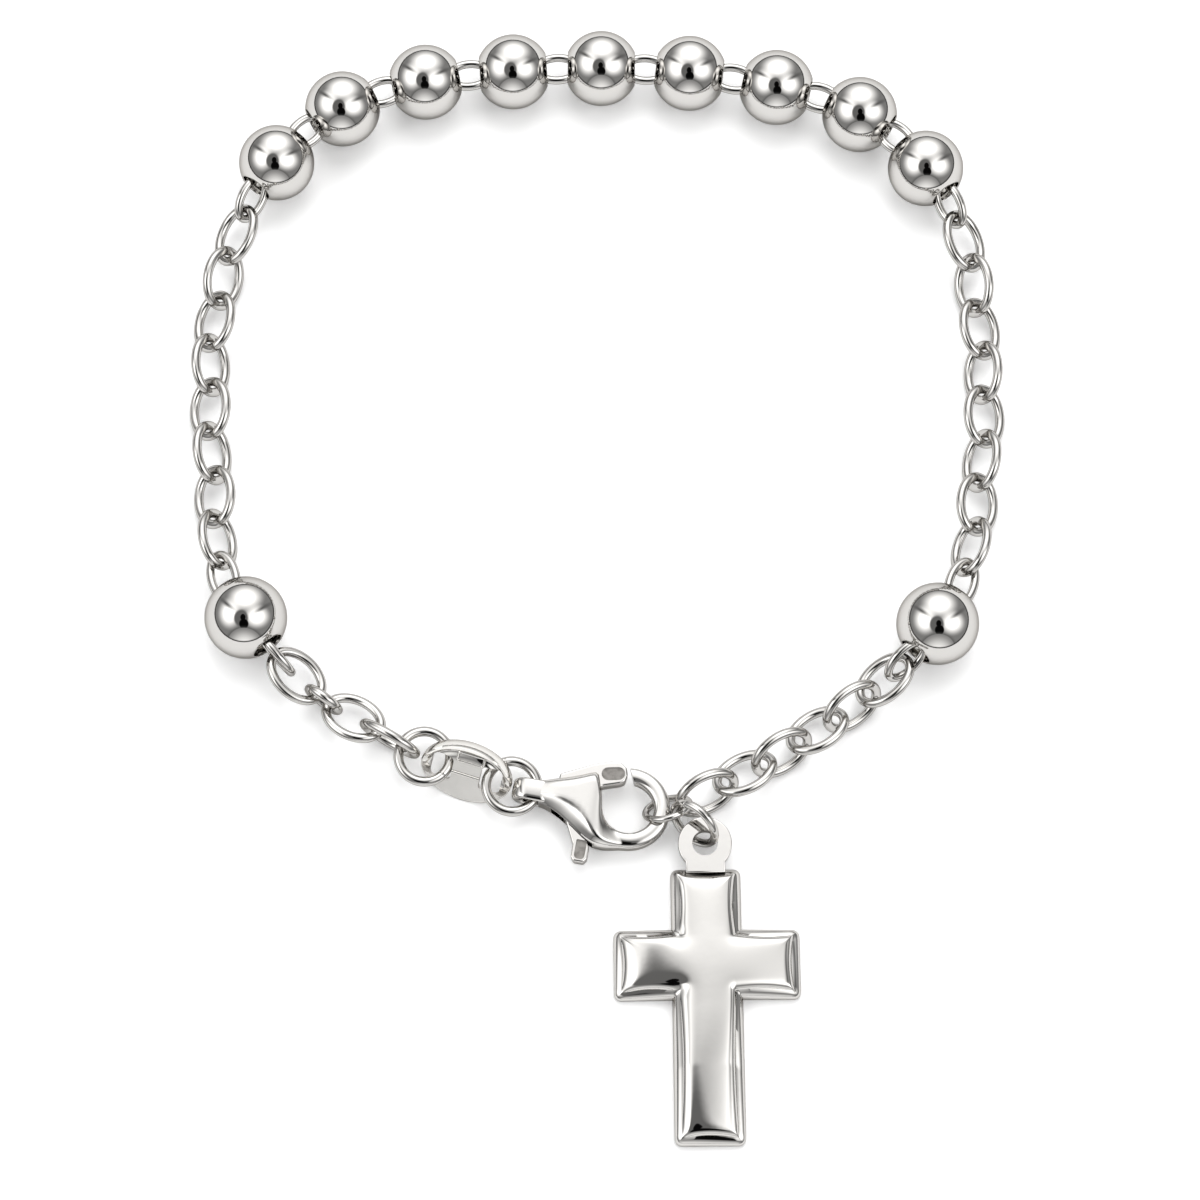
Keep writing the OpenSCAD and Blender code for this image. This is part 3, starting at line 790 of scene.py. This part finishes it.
gate_panel = slab(
    stadium(panel_middle, panel_length, panel_width, panel_turn),
    gate_half - panel_depth,
    gate_half + cutter_over,
    panel_bevel,
)
gate_mesh = carved("gate", slab(gate_outline, -gate_half, gate_half, gate_bevel), [gate_panel])
thumb_panel = slab(
    rounded(thumb_panel_corners, thumb_panel_radii),
    lever_half - thumb_depth,
    lever_half + cutter_over,
    thumb_panel_bevel,
)
thumb_mesh = carved("thumb", slab(thumb_outline, -lever_half, lever_half, thumb_bevel), [thumb_panel])


def parts_of(mesh, matrix):
    """A mesh in mm as a part for mesh_of"""
    return [tuple(v.co) for v in mesh.vertices], [tuple(p.vertices) for p in mesh.polygons], matrix


hub_bore_r, hub_r, hub_bevel = 0.52, 0.75, 0.03
hub_end = [
    (hub_bore_r, -lever_half),
    (hub_r - hub_bevel, -lever_half),
    (hub_r, hub_bevel - lever_half),
]
hub_profile = hub_end + [(r, -z) for r, z in reversed(hub_end)]
lever_mesh = mesh_of(
    "clasp_lever",
    [
        parts_of(gate_mesh, clasp_place),
        parts_of(thumb_mesh, clasp_place),
        (*turned(hub_profile, 48, True), clasp_place),
    ],
)
fit("clasp_gate_and_thumb_tab", lever_mesh, cast_silver, "lever", ["clasp_lever"], 35)
# The floors of the two panels are left matt from the casting mould. Their tone is also painted darker
# than the rest of the casting, as painted shade in the recesses, so they are plain dark grey
matt_recess_painted_shade = silver("rhodium_plated_cast_silver_matt_recess", "#8e8b87", 0.5, 0.3, 0.004)
lever_mesh.materials.append(matt_recess_painted_shade)
# Faces on the panel floors take the darker tone: painted shade in the two recesses
from_clasp = clasp_place.inverted()
facing, floor_play = 0.95, 0.015
for face in lever_mesh.polygons:
    middle = (from_clasp @ face.center) / mm
    upward = (from_clasp.to_3x3() @ face.normal).z
    floor = gate_half - panel_depth if middle.y > 0 else lever_half - thumb_depth
    if upward > facing and abs(middle.z - floor) < floor_play:
        face.material_index = 1


# The tag. An oval stamped from thick sheet, dished under a rolled back edge, with a slot at each end
# for a jump ring, a plain framed panel, and a raised line between the slots.

# Stamped sheet is brighter and hazier than the wire, a pale sheen with soft reflections
stamped_sheet = silver("rhodium_plated_stamped_silver_sheet", "#e8e6e2", 0.10, 1.3, 0.002)
tag_place = (
    Matrix.Translation(Vector((-9.18558, -24.99242, 1.63778)) * mm)
    @ Matrix.Rotation(math.radians(162.17), 4, "Z")
    @ Matrix.Rotation(math.radians(-40), 4, "X")
)
tag_length, tag_width, tag_thick = 6.5, 4.5, 0.5
slot_x, slot_width, slot_length, slot_corner = 1.76, 1.52, 1.9, 0.42

# The face: a rolled back edge, a dish under it that is deeper at one end, a slope to the front and
# a rounded outline
back_from, back_to = -0.2, 0.9
rim_rise, lip_from, lip_to, rim_from, rim_to = 0.42, -0.05, 0.12, 0.34, 0.62
dish_depth, dish_place, dish_reach = 0.15, 0.62, 0.42
end_dish, end_from, end_to = 0.8, 0.2, 1.8
tag_slope = 0.14
edge_drop, edge_reach = 0.12, 0.16
# The underside, ring by ring: the share of the outline and the height
tag_underside = ((1.0, -0.17), (0.985, -0.235), (0.96, -0.25), (0.001, -0.25))


def smooth(x, low, high):
    """0 below low, 1 above high, and a smooth step between them"""
    t = min(1, max(0, (x - low) / (high - low)))
    return t * t * (3 - 2 * t)


def tag_top(x, y, edge):
    """Height of the tag's face at x and y, where edge is the distance in from its outline"""
    back = smooth(-y, back_from, back_to)
    lip = rim_rise * back * (smooth(edge, lip_from, lip_to) - smooth(edge, rim_from, rim_to))
    dish = dish_depth * back * math.exp(-(((edge - dish_place) / dish_reach) ** 2))
    dish *= 1 + end_dish * smooth(-x, end_from, end_to)
    round_edge = edge_drop * (1 - smooth(edge, 0, edge_reach)) ** 2
    return tag_thick / 2 + lip - dish - tag_slope * y - round_edge


def laid_wire(path, radius, closed, sides=12):
    """Points and faces of a raised line that follows a path over the tag's face"""
    points = []
    n = len(path)
    off_rim = 0.5
    for i, (x, y) in enumerate(path):
        if closed:
            a, b = path[i - 1], path[(i + 1) % n]
        else:
            a, b = path[max(i - 1, 0)], path[min(i + 1, n - 1)]
        along = (Vector(b) - Vector(a)).normalized()
        edge = (1 - math.hypot(x / (tag_length / 2), y / (tag_width / 2))) * math.hypot(x, y)
        level = tag_top(x, y, edge + off_rim)
        for j in range(sides):
            p = j * 2 * math.pi / sides
            flat = radius * math.cos(p)
            points.append((x - along.y * flat, y + along.x * flat, level + radius * math.sin(p)))
    return points, tube_faces(n, sides, closed)


def tag_plate():
    """Points and faces of the tag without its slots"""
    rings, turns = 44, 168
    outward = 0.75
    points = []
    for i in range(rings + 1):
        s = (i / rings) ** outward
        for k in range(turns):
            a = k * 2 * math.pi / turns
            x, y = s * tag_length / 2 * math.cos(a), s * tag_width / 2 * math.sin(a)
            edge = (1 - s) * math.hypot(tag_length / 2 * math.cos(a), tag_width / 2 * math.sin(a))
            points.append((x, y, tag_top(x, y, edge)))
    for s, z in tag_underside:
        for k in range(turns):
            a = k * 2 * math.pi / turns
            points.append((s * tag_length / 2 * math.cos(a), s * tag_width / 2 * math.sin(a), z))
    return points, tube_faces(rings + 1 + len(tag_underside), turns, False)


tag_cutters = []
for side in (-1, 1):
    left, right = side * slot_x - slot_width / 2, side * slot_x + slot_width / 2
    end = slot_length / 2
    slot = rounded([(left, -end), (right, -end), (right, end), (left, end)], slot_corner)
    tag_cutters.append(slab(slot, -2, 2, cutter_bevel))
tag_mesh = carved("tag", tag_plate(), tag_cutters)
panel_frame = rounded([(-1.08, -1.56), (0.80, -1.56), (0.80, -0.88), (-1.08, -0.88)], 0.16)
crease = [(-1.0 + 0.1 * i, 0.14) for i in range(21)]
frame_radius, crease_radius = 0.10, 0.12
tag_parts = [
    parts_of(tag_mesh, tag_place),
    (*laid_wire(panel_frame, frame_radius, True), tag_place),
    (*laid_wire(crease, crease_radius, False), tag_place),
]
fit("tag_plate", mesh_of("tag_plate", tag_parts), stamped_sheet, "bracelet", ["tag"], 35)


# The cross's ring. A round ring of drawn silver wire, closed by hand at a fine seam. It hangs in the
# hook ring and holds the cross by its eyelet.
cross_ring_wire = 0.58
round_ring("cross_ring", cross_ring_wire)


# The cross. Pressed in sterling silver and in one with its flat eyelet: a rounded side wall, a crisp
# edge, and a front puffed up like a cushion. Its back is flat and lies on the paper.

# A pressed front keeps a faint waviness, so its mirror is soft and cloudy
pressed_front = silver("rhodium_plated_pressed_silver_front", "#cfcdca", 0.03, 2.6, 0.006)
cross_place = Matrix.Translation(Vector((7.18272, -30.0274, 0)) * mm) @ Matrix.Rotation(
    math.radians(0.6), 4, "Z"
)
cross_length, cross_width, arm_half, arms_drop = 18.9, 12.7, 2.4, 6.6
eyelet_r, eyelet_bore_r, eyelet_overlap = 1.85, 0.875, 0.2
cross_top = eyelet_overlap - eyelet_r
corner_round = 0.5
tolerance = 1e-4

# The crisp edge: how far in it lies, how high, and how it bows in between two corners
wall_inset = 0.47
edge_height = 1.55
edge_bow, bow_reach = 0.16, 1.3

# The front over that edge: it rolls up, domes in the middle and falls off to the ends, the left arm
# is twisted and the stem leans
puff, left_reach, other_reach = 0.32, 0.34, 0.20
dome, dome_reach = 0.24, 2.5
arm_fall, stem_fall, stem_fall_from = 0.034, 0.013, 3
left_arm_twist, twist_from, twist_reach, twist_lift = 0.095, 0.6, 3.6, 0.9
stem_lean, lean_from, lean_reach = 0.065, 2.0, 5

# Distances in from an edge at which the front has points, closer together where it rolls over
edge_steps = [0, 0.03, 0.07, 0.12, 0.18, 0.25, 0.33, 0.42, 0.52, 0.63, 0.76, 0.9]
edge_steps += [1.06, 1.24, 1.42, 1.6, 1.77, arm_half - wall_inset]

# The side wall, from under the crisp edge to the back: how far in from the outline, and how high
wall_profile = (
    (0.30, 0.93), (0.16, 0.83), (0.06, 0.7), (0.0, 0.52),
    (0.0, 0.3), (0.05, 0.12), (0.16, 0.03), (0.3, 0.0),
)


def cross_corners(d):
    """Corners of the cross's outline drawn in by d, anticlockwise from the top right"""
    h, x, y = arm_half - d, cross_width / 2 - d, -arms_drop
    low = d - cross_length
    return [
        (h, -d), (-h, -d), (-h, y + h), (-x, y + h), (-x, y - h), (-h, y - h),
        (-h, low), (h, low), (h, y - h), (x, y - h), (x, y + h), (h, y + h),
    ]


def inside_distance(x, y, corners, edges=range(12)):
    """Distance from points to the nearest of the outline's edges"""
    best = np.full(np.shape(x), 99.0)
    for k in edges:
        (ax, ay), (bx, by) = corners[k], corners[(k + 1) % len(corners)]
        lx, ly = bx - ax, by - ay
        t = np.clip(((x - ax) * lx + (y - ay) * ly) / (lx * lx + ly * ly), 0, 1)
        best = np.minimum(best, np.hypot(x - ax - t * lx, y - ay - t * ly))
    return best


def blown_sheet(corners, pitch=0.12, sweeps=1500):
    """Height of a thin sheet blown up inside the outline, on a grid: its places and values"""
    xs = np.arange(-cross_width / 2 - pitch, cross_width / 2 + 2 * pitch, pitch)
    ys = np.arange(-cross_length - pitch, 2 * pitch, pitch)
    gx, gy = np.meshgrid(xs, ys, indexing="ij")
    h, w, low = corners[0][0], corners[10][0], corners[6][1]
    stem = (abs(gx) < h) & (gy < corners[0][1]) & (gy > low)
    arms = (abs(gx) < w) & (abs(gy + arms_drop) < h)
    free = stem | arms
    z = np.zeros_like(gx)
    hold = pitch * pitch / dome_reach**2
    for _ in range(sweeps):
        near = np.zeros_like(z)
        near[1:-1, 1:-1] = z[:-2, 1:-1] + z[2:, 1:-1] + z[1:-1, :-2] + z[1:-1, 2:]
        z = np.where(free, (near + hold) / (4 + hold), 0)
    return xs, ys, z


def sample(xs, ys, z, x, y):
    """The grid's value at any place, between its four nearest points"""
    fx = (x - xs[0]) / (xs[1] - xs[0])
    fy = (y - ys[0]) / (ys[1] - ys[0])
    i, j = np.floor(fx).astype(int), np.floor(fy).astype(int)
    fx, fy = fx - i, fy - j
    below = z[i, j] * (1 - fx) + z[i + 1, j] * fx
    above = z[i, j + 1] * (1 - fx) + z[i + 1, j + 1] * fx
    return below * (1 - fy) + above * fy


def marks(start, end, first, last, pitch=0.16):
    """Places from start to end, close together at an end that is an edge"""
    lead = edge_steps if first else [0]
    tail = edge_steps if last else [0]
    room = end - start - lead[-1] - tail[-1]
    n = max(1, round(room / pitch)) if room > 1e-6 else 0
    middle = [start + lead[-1] + room * i / n for i in range(1, n)]
    return {round(v, 5) for v in [start + s for s in lead] + middle + [end - s for s in tail]}


def softened(x, y, corners):
    """A point of the outline, pulled round its outer corners"""
    for cx, cy in corners:
        arm_end = abs(abs(cx) - cross_width / 2) < tolerance
        if not (arm_end or cy > -tolerance or cy < tolerance - cross_length):
            continue
        sx, sy = (1 if cx > 0 else -1), (1 if cy > -arms_drop else -1)
        qx, qy = (cx - x) * sx, (cy - y) * sy
        if -tolerance < min(qx, qy) and max(qx, qy) < corner_round:
            turn = math.pi / 4 * (1 - max(qx, qy) / corner_round)
            nx, ny = corner_round * (1 - math.sin(turn)), corner_round * (1 - math.cos(turn))
            if qx < qy:
                nx, ny = ny, nx
            x, y = cx - sx * nx, cy - sy * ny
    return x, y


def cross_front():
    """Points and faces of the front, its rounded wall and the flat back"""
    edge = cross_corners(wall_inset)
    outer = cross_corners(0)
    h, w, top, low = edge[0][0], edge[10][0], edge[0][1], edge[6][1]
    arm_low, arm_high = -arms_drop - h, -arms_drop + h
    xs = marks(-w, -h, True, False) | marks(-h, h, True, True) | marks(h, w, False, True)
    ys = marks(low, arm_low, True, False) | marks(arm_low, arm_high, True, True)
    ys |= marks(arm_high, top, False, True)
    xs, ys = np.array(sorted(xs)), np.array(sorted(ys))
    gx, gy = np.meshgrid(xs, ys, indexing="ij")
    below = gy + arms_drop
    stem = (abs(gx) < h + tolerance) & (gy < top + tolerance) & (gy > low - tolerance)
    arms = (abs(gx) < w + tolerance) & (abs(below) < h + tolerance)
    blown = sample(*blown_sheet(edge), gx, gy)
    left_edges = [1, 3, 5]
    left_far = inside_distance(gx, gy, edge, left_edges)
    other_far = inside_distance(gx, gy, edge, [k for k in range(12) if k not in left_edges])
    rolled = (1 - np.exp(-left_far / left_reach)) * (1 - np.exp(-other_far / other_reach))
    z = edge_height + puff * rolled + dome * blown
    z -= 0.5 * (arm_fall * gx**2 + stem_fall * np.clip(-below - stem_fall_from, 0, None) ** 2)
    outward = np.clip((-gx - twist_from) / twist_reach, 0, 1)
    z += left_arm_twist * outward**2 * (3 - 2 * outward) * (np.clip(below, -h, h) + twist_lift)
    z -= stem_lean * np.clip((-below - lean_from) / lean_reach, 0, 1) ** 2 * gx
    wx, wy = gx.copy(), gy.copy()
    for (ax, ay), (bx, by) in zip(edge, edge[1:] + edge[:1]):
        length = math.hypot(bx - ax, by - ay)
        tx, ty = (bx - ax) / length, (by - ay) / length
        t = ((gx - ax) * tx + (gy - ay) * ty) / length
        d = -(gx - ax) * ty + (gy - ay) * tx
        near = (t >= 0) & (t <= 1) & (d > -tolerance) & (d < bow_reach)
        fade = (1 - np.clip(d, 0, bow_reach) / bow_reach) ** 2
        push = np.where(near, edge_bow * np.sin(np.pi * np.clip(t, 0, 1)) * fade, 0)
        wx += -ty * push
        wy += tx * push
    index = -np.ones(gx.shape, int)
    points = []
    for i, j in zip(*np.nonzero(stem | arms)):
        index[i, j] = len(points)
        points.append((float(wx[i, j]), float(wy[i, j]), float(z[i, j])))
    faces = []
    for i in range(len(xs) - 1):
        for j in range(len(ys) - 1):
            cell = [index[i, j], index[i + 1, j], index[i + 1, j + 1], index[i, j + 1]]
            mx, my = (xs[i] + xs[i + 1]) / 2, (ys[j] + ys[j + 1]) / 2
            inside = (abs(mx) < h and low < my < top) or (abs(mx) < w and abs(my + arms_drop) < h)
            if inside and min(cell) >= 0:
                faces.append(tuple(int(c) for c in cell))
    border = []
    for k, (a, b) in enumerate(zip(edge, edge[1:] + edge[:1])):
        if abs(a[0] - b[0]) > abs(a[1] - b[1]):
            axis, places, row = 0, xs, index[:, np.argmin(abs(ys - a[1]))]
        else:
            axis, places, row = 1, ys, index[np.argmin(abs(xs - a[0]))]
        play = tolerance / abs(b[axis] - a[axis])
        shares = (places - a[axis]) / (b[axis] - a[axis])
        on_edge = sorted((t, int(v)) for t, v in zip(shares, row) if -play < t < 1 + play)
        for t, v in on_edge[:-1]:
            foot = [o + (p - o) * t for o, p in zip(outer[k], outer[(k + 1) % len(outer)])]
            border.append((v, softened(*foot, outer)))
    count = len(border)
    rings = [[v for v, foot in border]]
    for drawn, level in wall_profile:
        share = drawn / wall_inset
        rings.append(list(range(len(points), len(points) + count)))
        for v, (x, y) in border:
            ex, ey, ez = points[v]
            points.append((x + (ex - x) * share, y + (ey - y) * share, ez * level))
    for a, b in zip(rings, rings[1:]):
        for k in range(count):
            m = (k + 1) % count
            faces.append((a[m], a[k], b[k], b[m]))
    faces.append(tuple(reversed(rings[-1])))
    return points, faces


# The eyelet is a flat round plate with a short neck, which goes into the top of the cross
eyelet_low, eyelet_high, eyelet_bevel = 1.15, 1.75, 0.07
neck_half, neck_end = 1.34, -2.05
neck_angle = math.asin(neck_half / eyelet_r)
around = [neck_angle + (2 * math.pi - 2 * neck_angle) * k / 72 for k in range(73)]
eyelet_outline = [(-neck_half, neck_end), (neck_half, neck_end)]
eyelet_outline += [(eyelet_r * math.sin(a), -eyelet_r * math.cos(a)) for a in around]
bore_turns = [2 * math.pi * k / 64 for k in range(64)]
bore = [(eyelet_bore_r * math.cos(a), eyelet_bore_r * math.sin(a)) for a in bore_turns]
eyelet_mesh = carved(
    "eyelet",
    slab(eyelet_outline, eyelet_low, eyelet_high, eyelet_bevel),
    [slab(bore, eyelet_low - 1, eyelet_high + 1, cutter_bevel)],
)
front_place = cross_place @ Matrix.Translation((0, cross_top * mm, 0))
cross_parts = [(*cross_front(), front_place), parts_of(eyelet_mesh, cross_place)]
fit("cross_and_eyelet", mesh_of("cross", cross_parts), pressed_front, "bracelet", ["cross"], 40)
